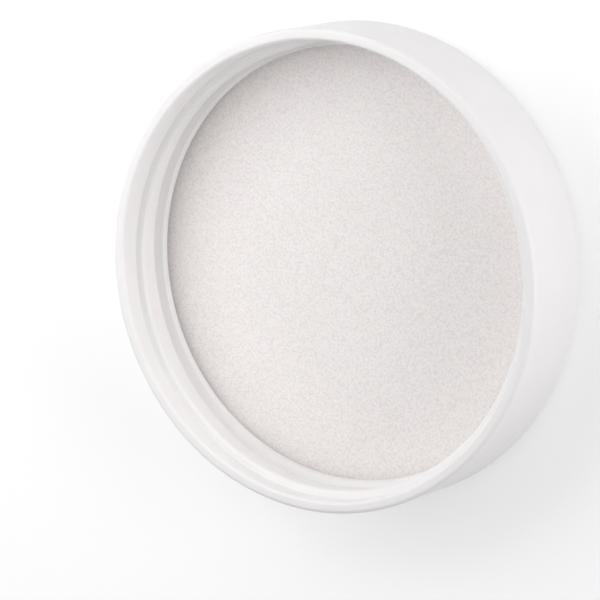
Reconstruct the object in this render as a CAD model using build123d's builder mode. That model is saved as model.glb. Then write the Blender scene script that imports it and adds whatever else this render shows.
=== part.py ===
from build123d import *
import math
import os

# A screw cap for a wide-mouth jar, in millimetres. It lies on its closed outer face at Z = 0,
# centred on the Z axis, and its open mouth faces up.

# The outside
outer_diameter = 74.0
overall_height = 15.4
wall_thickness = 1.85
closed_edge_radius = 1.4
rim_outer_edge_radius = 0.65
rim_inner_edge_radius = 0.5

# The closed end and the liner that lies on it
panel_thickness = 2.5
liner_thickness = 2.0
liner_edge_gap = 0.25
liner_edge_radius = 0.3

# The bead on the inside wall that keeps the liner in: a sloped underside, a crest that leans
# back towards the wall, and a nearly flat ledge that faces the mouth
bead_height = 1.6
bead_underside_length = 0.6
bead_crest_length = 0.95
bead_crest_lean = 0.25
bead_ledge_rise = 0.5
bead_edge_radius = 0.2
liner_face_gap = 0.25

# The thread: one right-hand ridge, with the flank that the jar pulls on facing the closed end
thread_pitch = 25.4 / 6
thread_height = 1.3
lead_flank_length = 0.25
load_flank_length = 0.25
lead_edge_radius = 0.75
load_edge_radius = 0.2
full_crest_width = 3.15
first_crest_width = 0.95

# Where the ridge runs. It starts deep in the cap and climbs to its level below the rim.
# Angles are in degrees about the axis.
thread_start_angle = 84.0
thread_angle = 323.0
mouth_land = 0.9
widening_angle = 107.0
fade_angle = 20.0
angle_between_sections = 15.0

# How far the ridge is rooted in the wall, how far its ends sink in, and what is bored off its crest
root_depth = 0.9
end_sink = 0.1
crest_allowance = 0.06

# Radii and levels that follow from the sizes above
outer_radius = outer_diameter / 2
bore_radius = outer_radius - wall_thickness
crest_radius = bore_radius - thread_height
bead_radius = bore_radius - bead_height
liner_radius = bore_radius - liner_edge_gap
liner_face_level = panel_thickness + liner_thickness
bead_underside_level = liner_face_level + liner_face_gap
bead_crest_level = bead_underside_level + bead_underside_length
bead_ledge_level = bead_crest_level + bead_crest_length
bead_top_level = bead_ledge_level + bead_ledge_rise

# The ridge's edge nearest the mouth climbs from its first level to its last one
last_level = overall_height - mouth_land
first_level = last_level - thread_pitch * thread_angle / 360
section_count = math.ceil(thread_angle / angle_between_sections)


def cavity_section():
    """Half section of the hollow: mouth, bead and liner pocket."""
    with BuildSketch(Plane.XZ) as section:
        with BuildLine():
            Polyline(
                (0, panel_thickness),
                (0, overall_height),
                (bore_radius, overall_height),
                (bore_radius, bead_top_level),
                (bead_radius + bead_crest_lean, bead_ledge_level),
                (bead_radius, bead_crest_level),
                (bore_radius, bead_underside_level),
                (bore_radius, panel_thickness),
                close=True,
            )
        make_face()
        ledge_edge = section.vertices().group_by(Axis.X)[2]
        fillet(ledge_edge, bead_edge_radius)
    return section.sketch


def ridge_section(turned):
    """Section of the thread ridge, this many degrees on from where it starts."""
    level = first_level + thread_pitch * turned / 360
    widened = min(turned / widening_angle, 1)
    crest_width = first_crest_width + (full_crest_width - first_crest_width) * widened
    # at both ends the crest sinks into the wall
    risen = min(turned / fade_angle, (thread_angle - turned) / fade_angle, 1)
    top = bore_radius + end_sink - (thread_height + crest_allowance + end_sink) * risen
    root = bore_radius + root_depth
    lead_edge = level - lead_flank_length
    load_edge = lead_edge - crest_width
    lead_slope = lead_flank_length / thread_height
    load_slope = load_flank_length / thread_height
    with BuildSketch(Plane.XZ.rotated((0, 0, thread_start_angle + turned))) as section:
        with BuildLine():
            Polyline(
                (top, lead_edge),
                (top, load_edge),
                (root, load_edge - load_slope * (root - top)),
                (root, lead_edge + lead_slope * (root - top)),
                close=True,
            )
        make_face()
        fillet(section.vertices().group_by(Axis.X)[0].sort_by(Axis.Y)[0], load_edge_radius)
        fillet(section.vertices().group_by(Axis.X)[0].sort_by(Axis.Y)[-1], lead_edge_radius)
    return section.sketch


os.makedirs("parts", exist_ok=True)
# cylinders stand on Z = 0
standing = (Align.CENTER, Align.CENTER, Align.MIN)

with BuildPart() as ridge:
    turns = [thread_angle * i / section_count for i in range(section_count + 1)]
    loft([ridge_section(turned) for turned in turns])
    # the crest is bored to one true radius
    Cylinder(crest_radius, overall_height, align=standing, mode=Mode.SUBTRACT)

with BuildPart() as cap:
    Cylinder(outer_radius, overall_height, align=standing)
    fillet(cap.edges().group_by(Axis.Z)[0], closed_edge_radius)
    fillet(cap.edges().group_by(Axis.Z)[-1], rim_outer_edge_radius)
    revolve(cavity_section(), axis=Axis.Z, mode=Mode.SUBTRACT)
    mouth_edge = cap.edges().group_by(Axis.Z)[-1].sort_by(SortBy.RADIUS)[0]
    fillet(mouth_edge, rim_inner_edge_radius)
    add(ridge.part)
cap.part.label = "cap"
export_step(cap.part, "parts/cap.step")

with BuildPart() as liner:
    with BuildSketch(Plane.XY.offset(panel_thickness)):
        Circle(liner_radius)
    extrude(amount=liner_thickness)
    fillet(liner.edges().group_by(Axis.Z)[-1], liner_edge_radius)
liner.part.label = "liner"
export_step(liner.part, "parts/liner.step")
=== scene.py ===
import math

import bmesh
import bpy
from mathutils import Matrix, Vector, noise

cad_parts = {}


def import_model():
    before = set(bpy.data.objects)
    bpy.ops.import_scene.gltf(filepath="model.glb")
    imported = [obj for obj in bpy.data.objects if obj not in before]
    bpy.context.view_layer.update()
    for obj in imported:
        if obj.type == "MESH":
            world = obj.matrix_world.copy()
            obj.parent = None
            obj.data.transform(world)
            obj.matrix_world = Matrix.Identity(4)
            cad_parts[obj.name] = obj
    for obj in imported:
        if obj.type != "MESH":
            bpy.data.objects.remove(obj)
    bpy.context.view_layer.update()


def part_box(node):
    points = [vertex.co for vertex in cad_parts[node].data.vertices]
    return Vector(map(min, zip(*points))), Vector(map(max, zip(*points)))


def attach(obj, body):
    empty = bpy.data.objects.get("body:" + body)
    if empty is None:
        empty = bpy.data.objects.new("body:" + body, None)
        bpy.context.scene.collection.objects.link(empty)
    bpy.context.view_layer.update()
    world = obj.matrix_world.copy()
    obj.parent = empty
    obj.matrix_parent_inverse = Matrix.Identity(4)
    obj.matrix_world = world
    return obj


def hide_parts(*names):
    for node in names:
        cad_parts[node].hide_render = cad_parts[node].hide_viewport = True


# The screw cap dressed as white moulded plastic with a foam liner. All lengths are in metres.
# The cap lies on its closed face at Z = 0 and its mouth faces up.

MM = 0.001

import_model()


# Node helpers


def new_material(name):
    """An empty node material and its Principled shader."""
    material = bpy.data.materials.new(name)
    material.use_nodes = True
    nodes = material.node_tree.nodes
    nodes.clear()
    output = nodes.new("ShaderNodeOutputMaterial")
    shader = nodes.new("ShaderNodeBsdfPrincipled")
    material.node_tree.links.new(shader.outputs["BSDF"], output.inputs["Surface"])
    return material, shader


def place_node(material):
    """Object coordinates, which on this object are metres in the cap's own frame."""
    return material.node_tree.nodes.new("ShaderNodeTexCoord").outputs["Object"]


def noise_node(material, feature_size, detail=2.0, roughness=0.5):
    """Grey noise whose blobs are about feature_size across."""
    node = material.node_tree.nodes.new("ShaderNodeTexNoise")
    node.inputs["Scale"].default_value = 1 / feature_size
    node.inputs["Detail"].default_value = detail
    node.inputs["Roughness"].default_value = roughness
    material.node_tree.links.new(place_node(material), node.inputs["Vector"])
    return node.outputs["Fac"]


def cell_node(material, cell_size, smoothness=0.5):
    """How far a place is from the middle of its cell, with soft borders between the cells."""
    node = material.node_tree.nodes.new("ShaderNodeTexVoronoi")
    node.feature = "SMOOTH_F1"
    node.inputs["Scale"].default_value = 1 / cell_size
    node.inputs["Smoothness"].default_value = smoothness
    material.node_tree.links.new(place_node(material), node.inputs["Vector"])
    return node.outputs["Distance"]


def blend_node(material, first, last, share):
    """Two numbers mixed, with this share of the last."""
    node = material.node_tree.nodes.new("ShaderNodeMix")
    node.data_type = "FLOAT"
    node.inputs["Factor"].default_value = share
    material.node_tree.links.new(first, node.inputs["A"])
    material.node_tree.links.new(last, node.inputs["B"])
    return node.outputs["Result"]


def ramp_node(material, factor, low, high, start=0.3, end=0.7):
    """A colour that goes from low to high as factor goes from start to end."""
    node = material.node_tree.nodes.new("ShaderNodeValToRGB")
    first, last = node.color_ramp.elements
    first.position = start
    last.position = end
    first.color = (*low, 1)
    last.color = (*high, 1)
    material.node_tree.links.new(factor, node.inputs["Fac"])
    return node.outputs["Color"]


def range_node(material, factor, low, high, start=0.3, end=0.7):
    """A number that goes from low to high as factor goes from start to end."""
    node = material.node_tree.nodes.new("ShaderNodeMapRange")
    node.inputs["From Min"].default_value = start
    node.inputs["From Max"].default_value = end
    node.inputs["To Min"].default_value = low
    node.inputs["To Max"].default_value = high
    material.node_tree.links.new(factor, node.inputs["Value"])
    return node.outputs["Result"]


def bump_node(material, height, depth, over=None):
    """A bump of this depth in metres, laid over another bump if one is given."""
    node = material.node_tree.nodes.new("ShaderNodeBump")
    node.inputs["Strength"].default_value = 1.0
    node.inputs["Distance"].default_value = depth
    material.node_tree.links.new(height, node.inputs["Height"])
    if over:
        material.node_tree.links.new(over, node.inputs["Normal"])
    return node.outputs["Normal"]


def seen_or_lit(tree, seen, lit):
    """One strength for what is seen, directly, reflected or through glass, and one for what lights."""
    path = tree.nodes.new("ShaderNodeLightPath")
    is_seen = path.outputs["Is Camera Ray"]
    for other in ("Is Glossy Ray", "Is Transmission Ray"):
        either = tree.nodes.new("ShaderNodeMath")
        either.operation = "MAXIMUM"
        tree.links.new(is_seen, either.inputs[0])
        tree.links.new(path.outputs[other], either.inputs[1])
        is_seen = either.outputs[0]
    strength = tree.nodes.new("ShaderNodeMapRange")
    strength.inputs["To Min"].default_value = lit
    strength.inputs["To Max"].default_value = seen
    tree.links.new(is_seen, strength.inputs["Value"])
    return strength.outputs["Result"]


# Materials


def moulded_plastic():
    """Satin white polypropylene: slightly translucent, with the faint ripple of a moulded surface."""
    material, shader = new_material("moulded_plastic_satin")
    links = material.node_tree.links
    flow = noise_node(material, feature_size=9 * MM, detail=3)
    colour = ramp_node(material, flow, low=(0.882, 0.864, 0.866), high=(0.9, 0.881, 0.883))
    links.new(colour, shader.inputs["Base Color"])
    skin = noise_node(material, feature_size=1.6 * MM, detail=3)
    links.new(range_node(material, skin, low=0.33, high=0.41), shader.inputs["Roughness"])
    ripple = bump_node(material, noise_node(material, feature_size=2.4 * MM), depth=0.006 * MM)
    grain = noise_node(material, feature_size=0.25 * MM, detail=1)
    links.new(bump_node(material, grain, depth=0.0015 * MM, over=ripple), shader.inputs["Normal"])
    shader.inputs["IOR"].default_value = 1.49
    shader.inputs["Subsurface Weight"].default_value = 0.2
    shader.inputs["Subsurface Radius"].default_value = (1.0, 0.95, 0.9)
    shader.inputs["Subsurface Scale"].default_value = 1.2 * MM
    return material


def liner_foam():
    """Matt off-white foamed plastic sheet, with the pebbled grain of its skin, random mottle, and painted
    shade in the creases between the pebbles.
    """
    material, shader = new_material("liner_foam_grain_painted_shade")
    links = material.node_tree.links
    pebbles = cell_node(material, cell_size=0.36 * MM)
    mottle = noise_node(material, feature_size=0.8 * MM, detail=3, roughness=0.6)
    # skin mixes the pebbles' cells with random mottle. The colour below darkens towards the cells'
    # borders, where the dimpled bump sinks into creases: that darkening is painted shade, and the mottle
    # is random tone
    skin = blend_node(material, pebbles, mottle, share=0.35)
    colour = ramp_node(material, skin, low=(0.972, 0.93, 0.917), high=(0.856, 0.817, 0.804))
    links.new(colour, shader.inputs["Base Color"])
    patches = noise_node(material, feature_size=7 * MM, detail=2)
    links.new(range_node(material, patches, low=0.58, high=0.72), shader.inputs["Roughness"])
    dimples = bump_node(material, pebbles, depth=-0.03 * MM)
    grain = noise_node(material, feature_size=0.3 * MM, detail=1)
    links.new(bump_node(material, grain, depth=0.04 * MM, over=dimples), shader.inputs["Normal"])
    shader.inputs["IOR"].default_value = 1.45
    return material


def pale_floor():
    """A matt pale floor. What is seen of it is lifted towards white, and more so far from the lamps."""
    material, shader = new_material("pale_floor")
    shader.inputs["Base Color"].default_value = (0.8, 0.8, 0.8, 1)
    shader.inputs["Roughness"].default_value = 0.9
    shader.inputs["Specular IOR Level"].default_value = 0.0
    shader.inputs["Emission Color"].default_value = (1, 1, 1, 1)
    tree = material.node_tree
    from_cap = tree.nodes.new("ShaderNodeVectorMath")
    from_cap.operation = "LENGTH"
    tree.links.new(place_node(material), from_cap.inputs[0])
    lift = range_node(
        material, from_cap.outputs["Value"], low=NEAR_LIFT, high=FAR_LIFT, start=NEAR_FLOOR, end=FAR_FLOOR
    )
    shown = tree.nodes.new("ShaderNodeMath")
    shown.operation = "MULTIPLY"
    tree.links.new(lift, shown.inputs[0])
    tree.links.new(seen_or_lit(tree, seen=1.0, lit=0.0), shown.inputs[1])
    tree.links.new(shown.outputs[0], shader.inputs["Emission Strength"])
    return material


def give(thing, material):
    """The object's only material."""
    thing.data.materials.clear()
    thing.data.materials.append(material)


def new_piece(name, mesh):
    """An object made of this mesh, smooth shaded."""
    for face in mesh.faces:
        face.smooth = True
    data = bpy.data.meshes.new(name)
    mesh.to_mesh(data)
    mesh.free()
    piece = bpy.data.objects.new(name, data)
    bpy.context.scene.collection.objects.link(piece)
    return piece


# The cap is a ring of half sections. Its outside sizes and the levels inside come from the frame,
# and the rest repeats the sizes that the solid was made with. Angles are in degrees.

cap_low, cap_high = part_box("cap")
liner_low, liner_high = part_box("liner")

OUTER_RADIUS = (cap_high.x - cap_low.x) / 2
HEIGHT = cap_high.z
BORE_RADIUS = OUTER_RADIUS - 1.85 * MM
CLOSED_EDGE_RADIUS = 1.4 * MM
RIM_OUTER_EDGE_RADIUS = 0.65 * MM
RIM_INNER_EDGE_RADIUS = 0.5 * MM
POCKET_ROOT_RADIUS = 0.15 * MM

BEAD_HEIGHT = 1.6 * MM
BEAD_UNDERSIDE_LEVEL = liner_high.z + 0.25 * MM
BEAD_CREST_LEVEL = BEAD_UNDERSIDE_LEVEL + 0.6 * MM
BEAD_LEDGE_LEVEL = BEAD_CREST_LEVEL + 0.95 * MM
BEAD_TOP_LEVEL = BEAD_LEDGE_LEVEL + 0.5 * MM
BEAD_CREST_LEAN = 0.25 * MM
BEAD_EDGE_RADIUS = 0.2 * MM
BEAD_LIP_RADIUS = 0.08 * MM
BEAD_ROOT_RADIUS = 0.2 * MM

THREAD_PITCH = 25.4 / 6 * MM
THREAD_HEIGHT = 1.3 * MM
THREAD_START = 84.0
THREAD_ANGLE = 323.0
LEAD_FLANK = 0.25 * MM
LOAD_FLANK = 0.25 * MM
LEAD_EDGE_RADIUS = 0.75 * MM
LOAD_EDGE_RADIUS = 0.2 * MM
RIDGE_ROOT_RADIUS = 0.12 * MM
FIRST_CREST_WIDTH = 0.95 * MM
FULL_CREST_WIDTH = 3.15 * MM
WIDENING_ANGLE = 107.0
FADE_ANGLE = 20.0
LEAST_FLANK = 0.1 * MM
LAST_LEVEL = HEIGHT - 0.9 * MM
FIRST_LEVEL = LAST_LEVEL - THREAD_PITCH * THREAD_ANGLE / 360

# How finely the mesh is divided, how short a rounding may be, and how much of a side it may take
CAP_SEGMENTS = 288
ARC_STEPS = 6
LEAST_REACH = 0.03 * MM
LARGEST_SHARE = 0.45
LARGE_FACE_WEIGHT = 60


def mix(first, last, share):
    """The value this share of the way from first to last."""
    return first + (last - first) * share


def ridge_corners(angle):
    """The thread ridge's corners at this angle in degrees, from the mouth inward."""
    turned = (angle - THREAD_START) % 360
    if turned <= THREAD_ANGLE:
        level = FIRST_LEVEL + THREAD_PITCH * turned / 360
        width = mix(FIRST_CREST_WIDTH, FULL_CREST_WIDTH, min(turned / WIDENING_ANGLE, 1))
        risen = min(turned / FADE_ANGLE, (THREAD_ANGLE - turned) / FADE_ANGLE, 1)
    else:
        # between the ridge's end and its start the four corners run back along the bare wall
        back = (turned - THREAD_ANGLE) / (360 - THREAD_ANGLE)
        level = mix(LAST_LEVEL, FIRST_LEVEL, back)
        width = mix(FULL_CREST_WIDTH, FIRST_CREST_WIDTH, back)
        risen = 0
    crest = BORE_RADIUS - THREAD_HEIGHT * risen
    lead_edge = level - LEAD_FLANK
    load_edge = lead_edge - width
    return [
        (BORE_RADIUS, lead_edge + max(LEAD_FLANK * risen, LEAST_FLANK), RIDGE_ROOT_RADIUS),
        (crest, lead_edge, LEAD_EDGE_RADIUS),
        (crest, load_edge, LOAD_EDGE_RADIUS),
        (BORE_RADIUS, load_edge - max(LOAD_FLANK * risen, LEAST_FLANK), RIDGE_ROOT_RADIUS),
    ]


def cap_corners(angle):
    """Corners (radius, level, edge radius) of the cap's half section, from the axis round to it again."""
    bead_radius = BORE_RADIUS - BEAD_HEIGHT
    return [
        (0, 0, 0),
        (OUTER_RADIUS, 0, CLOSED_EDGE_RADIUS),
        (OUTER_RADIUS, HEIGHT, RIM_OUTER_EDGE_RADIUS),
        (BORE_RADIUS, HEIGHT, RIM_INNER_EDGE_RADIUS),
        *ridge_corners(angle),
        (BORE_RADIUS, BEAD_TOP_LEVEL, BEAD_ROOT_RADIUS),
        (bead_radius + BEAD_CREST_LEAN, BEAD_LEDGE_LEVEL, BEAD_EDGE_RADIUS),
        (bead_radius, BEAD_CREST_LEVEL, BEAD_LIP_RADIUS),
        (BORE_RADIUS, BEAD_UNDERSIDE_LEVEL, BEAD_ROOT_RADIUS),
        (BORE_RADIUS, liner_low.z, POCKET_ROOT_RADIUS),
        (0, liner_low.z, 0),
    ]


def rounded(corners):
    """Points of a line through the corners between the first and the last, each turned on its arc."""
    points = []
    for before, corner, after in zip(corners, corners[1:], corners[2:]):
        here = Vector(corner[:2])
        back = Vector(before[:2]) - here
        ahead = Vector(after[:2]) - here
        half_turn = (math.pi - back.angle(ahead)) / 2
        reach = max(corner[2] * math.tan(half_turn), LEAST_REACH)
        reach = min(reach, LARGEST_SHARE * back.length, LARGEST_SHARE * ahead.length)
        first = here + back.normalized() * reach
        last = here + ahead.normalized() * reach
        for i in range(ARC_STEPS + 1):
            share = i / ARC_STEPS
            pull = 2 * share * (1 - share) * math.cos(half_turn)
            weight = (1 - share) ** 2 + pull + share ** 2
            points.append((first * (1 - share) ** 2 + here * pull + last * share ** 2) / weight)
    return points


def cap_shell():
    """The whole cap as one closed mesh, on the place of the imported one."""
    mesh = bmesh.new()
    outside_middle = mesh.verts.new((0, 0, 0))
    inside_middle = mesh.verts.new((0, 0, liner_low.z))
    sections = []
    for i in range(CAP_SEGMENTS):
        angle = 360 * i / CAP_SEGMENTS
        across = math.cos(math.radians(angle))
        along = math.sin(math.radians(angle))
        points = rounded(cap_corners(angle))
        sections.append([mesh.verts.new((p.x * across, p.x * along, p.y)) for p in points])
    for i, section in enumerate(sections):
        following = sections[(i + 1) % CAP_SEGMENTS]
        mesh.faces.new((outside_middle, following[0], section[0]))
        for j in range(len(section) - 1):
            mesh.faces.new((section[j], following[j], following[j + 1], section[j + 1]))
        mesh.faces.new((section[-1], following[-1], inside_middle))
    return new_piece("cap_shell", mesh)


cap = cap_shell()
give(cap, moulded_plastic())
# large faces set the shading, so flats and cylinders stay even beside their narrow roundings
normals = cap.modifiers.new("normals", "WEIGHTED_NORMAL")
normals.weight = LARGE_FACE_WEIGHT
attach(cap, "root")
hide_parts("cap")


# The liner is a sheet of foam that isn't perfectly flat

LINER_SEGMENTS = 192
LINER_RING_STEP = 1.0 * MM
LINER_EDGE_RADIUS = 0.3 * MM
EDGE_STEPS = 5
# the underside, which nothing shows, has only every fifth ring
UNDERSIDE_STEP = 5
SAG_DEPTH = 0.09 * MM
SAG_SIZE = 14 * MM
SAG_GAIN = 1.6
SAG_SLICE = 0.5
FLAT_BORDER = 3.0 * MM


def liner_profile(radius, low, high):
    """Points (radius, level, how much the sheet may sag there) from the top's middle to the bottom's."""
    flat_radius = radius - LINER_EDGE_RADIUS
    ring_count = round(flat_radius / LINER_RING_STEP)
    rings = [flat_radius * i / ring_count for i in range(1, ring_count + 1)]
    profile = [(r, high, min((flat_radius - r) / FLAT_BORDER, 1)) for r in rings]
    for i in range(1, EDGE_STEPS + 1):
        turn = math.pi / 2 * i / EDGE_STEPS
        across = flat_radius + LINER_EDGE_RADIUS * math.sin(turn)
        level = high - LINER_EDGE_RADIUS * (1 - math.cos(turn))
        profile.append((across, level, 0))
    profile.append((radius, low, 0))
    profile += [(r, low, 0) for r in reversed(rings[UNDERSIDE_STEP - 1::UNDERSIDE_STEP])]
    return profile


def sag(x, y):
    """How far the sheet dips at this place, from 0 to SAG_DEPTH."""
    wave = noise.noise(Vector((x / SAG_SIZE, y / SAG_SIZE, SAG_SLICE)))
    return SAG_DEPTH * (0.5 - 0.5 * max(-1, min(wave * SAG_GAIN, 1)))


def liner_disc():
    """The foam disc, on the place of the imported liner."""
    radius = (liner_high.x - liner_low.x) / 2
    mesh = bmesh.new()
    top_middle = mesh.verts.new((0, 0, liner_high.z - sag(0, 0)))
    rings = []
    for across, level, give_way in liner_profile(radius, liner_low.z, liner_high.z):
        ring = []
        for i in range(LINER_SEGMENTS):
            angle = 2 * math.pi * i / LINER_SEGMENTS
            x = across * math.cos(angle)
            y = across * math.sin(angle)
            ring.append(mesh.verts.new((x, y, level - sag(x, y) * give_way)))
        rings.append(ring)
    bottom_middle = mesh.verts.new((0, 0, liner_low.z))
    for i in range(LINER_SEGMENTS):
        j = (i + 1) % LINER_SEGMENTS
        mesh.faces.new((top_middle, rings[0][i], rings[0][j]))
        for inner, outer in zip(rings, rings[1:]):
            mesh.faces.new((inner[i], outer[i], outer[j], inner[j]))
        mesh.faces.new((bottom_middle, rings[-1][j], rings[-1][i]))
    return new_piece("liner_disc", mesh)


liner = liner_disc()
give(liner, liner_foam())
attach(liner, "root")
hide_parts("liner")


# Floor, light and camera

FLOOR_HALF = 1.5

# The floor's own glow as seen, up to NEAR_FLOOR from the cap and from FAR_FLOOR on
NEAR_FLOOR = 0.1
FAR_FLOOR = 0.5
NEAR_LIFT = 0.3
FAR_LIFT = 0.65

WORLD_STRENGTH = 0.357

# Each lamp: name, direction from the cap, distance, side, power in watts
LAMPS = (
    ("lamp_right", (0.97, 0.0, 0.25), 0.6, 0.3, 1.45),
    ("lamp_left", (-0.92, 0.2, 0.33), 0.6, 0.4, 0.41),
    ("lamp_back", (0.57, 0.74, 0.34), 0.6, 0.4, 0.5),
    ("lamp_high_left", (-0.6, 0.3, 0.74), 0.22, 0.14, 0.098),
    ("lamp_high_back", (-0.3, 0.6, 0.74), 0.22, 0.14, 0.098),
    ("lamp_high", (-0.5, -0.17, 0.84), 0.3, 0.2, 0.118),
)

# The camera's lens and sensor in millimetres, its place, and where its right side and its back point
CAMERA_LENS = 226.69
CAMERA_SENSOR = 36.0
CAMERA_PLACE = (0.28873, 0.09022, 0.49773)
CAMERA_RIGHT = (0.8556226, 0.0, -0.5176003)
CAMERA_BACK = (0.5104601, 0.1655271, 0.8438195)


def floor():
    """The plain floor the cap lies on."""
    mesh = bmesh.new()
    bmesh.ops.create_grid(mesh, x_segments=1, y_segments=1, size=FLOOR_HALF)
    plane = new_piece("floor", mesh)
    give(plane, pale_floor())


def world():
    """Even white surroundings. They show as white, and light the cap less than that."""
    surroundings = bpy.data.worlds.new("surroundings")
    surroundings.use_nodes = True
    tree = surroundings.node_tree
    background = tree.nodes["Background"]
    background.inputs["Color"].default_value = (1, 1, 1, 1)
    tree.links.new(seen_or_lit(tree, seen=1.0, lit=WORLD_STRENGTH), background.inputs["Strength"])
    bpy.context.scene.world = surroundings


def lamp(name, direction, distance, side, power):
    """A square soft light that faces the cap."""
    data = bpy.data.lights.new(name, "AREA")
    data.size = side
    data.energy = power
    light = bpy.data.objects.new(name, data)
    bpy.context.scene.collection.objects.link(light)
    toward = Vector(direction).normalized()
    light.location = toward * distance
    light.rotation_euler = toward.to_track_quat("Z", "Y").to_euler()


def camera():
    """The photograph's view of the cap, from above and rolled with it."""
    data = bpy.data.cameras.new("camera")
    data.sensor_width = CAMERA_SENSOR
    data.lens = CAMERA_LENS
    view = bpy.data.objects.new("camera", data)
    bpy.context.scene.collection.objects.link(view)
    back = Vector(CAMERA_BACK).normalized()
    right = Vector(CAMERA_RIGHT)
    right = (right - back * right.dot(back)).normalized()
    up = back.cross(right)
    turned = Matrix((right, up, back)).transposed().to_4x4()
    view.matrix_world = Matrix.Translation(CAMERA_PLACE) @ turned
    bpy.context.scene.camera = view


floor()
world()
for row in LAMPS:
    lamp(*row)
camera()
bpy.context.scene.view_settings.view_transform = "Standard"
